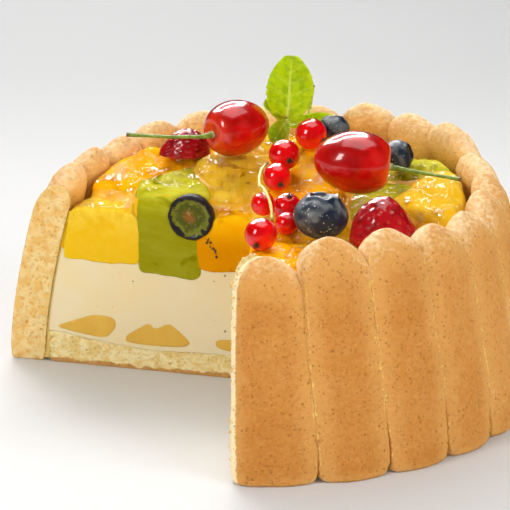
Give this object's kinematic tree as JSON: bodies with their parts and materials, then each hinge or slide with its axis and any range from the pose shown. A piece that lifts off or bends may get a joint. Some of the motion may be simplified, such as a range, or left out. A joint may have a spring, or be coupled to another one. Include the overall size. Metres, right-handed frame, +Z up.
{
  "type": "charlotte cake",
  "caption": "Round fruit charlotte: sponge fingers round a cream filling on a thin base, topped with cut fruit, berries and mint, one wedge cut away.",
  "frame": {"origin": "middle of the cake's footprint, on the surface it stands on", "axes": "+Z up; -Y towards the viewer of the cut side; +X to the right, with the missing wedge at -X, -Y"},
  "size_m": [0.157, 0.1597, 0.0885],
  "materials": {
    "finger": "baked, dry and finely pitted, paler along the seams",
    "sponge": "open crumb, a little browned underneath",
    "cream": "set cream, smooth and faintly moist",
    "pear": "poached fruit, moist",
    "mango": "wet with clear glaze",
    "pineapple": "wet with clear glaze, fibrous",
    "kiwi": "wet with clear glaze, streaked",
    "cherry": "smooth glossy skin",
    "strawberry": "glazed, seeded skin",
    "blueberry": "dusty bloom over dark skin",
    "blueberry_half": "cut flesh in a dark skin",
    "currant": "shiny translucent skin",
    "stem": "green stalk, browned at its end",
    "mint": "soft leaf with pale veins"
  },
  "bodies": {
    "root": {"finger_01": "finger", "finger_02": "finger", "finger_03": "finger", "finger_04": "finger", "finger_05": "finger", "finger_06": "finger", "finger_07": "finger", "finger_08": "finger", "finger_09": "finger", "finger_10": "finger", "finger_11": "finger", "finger_12": "finger", "finger_13": "finger", "finger_14": "finger", "finger_15": "finger", "finger_16": "finger", "finger_17": "finger", "finger_18": "finger", "finger_cut": "finger", "sponge_base": "sponge", "cream": "cream", "pear_1": "pear", "pear_2": "pear", "pear_3": "pear", "pear_4": "pear", "pineapple_1": "pineapple", "kiwi_1": "kiwi", "mango_1": "mango", "mango_2": "mango", "pineapple_2": "pineapple", "mango_3": "mango", "mango_4": "mango", "mango_5": "mango", "mango_6": "mango", "pineapple_3": "pineapple", "kiwi_2": "kiwi", "pineapple_4": "pineapple", "kiwi_3": "kiwi", "mango_7": "mango", "pineapple_5": "pineapple", "blueberry_half": "blueberry_half", "cherry_1": "cherry", "cherry_2": "cherry", "cherry_stem_1": "stem", "cherry_stem_2": "stem", "strawberry_1": "strawberry", "strawberry_2": "strawberry", "blueberry_1": "blueberry", "blueberry_2": "blueberry", "blueberry_3": "blueberry", "currant_1": "currant", "currant_2": "currant", "currant_3": "currant", "currant_4": "currant", "currant_5": "currant", "currant_6": "currant", "currant_7": "currant", "currant_stalk": "stem", "mint_sprig": "mint", "bare_stalk": "stem"}
  },
  "joints": []
}
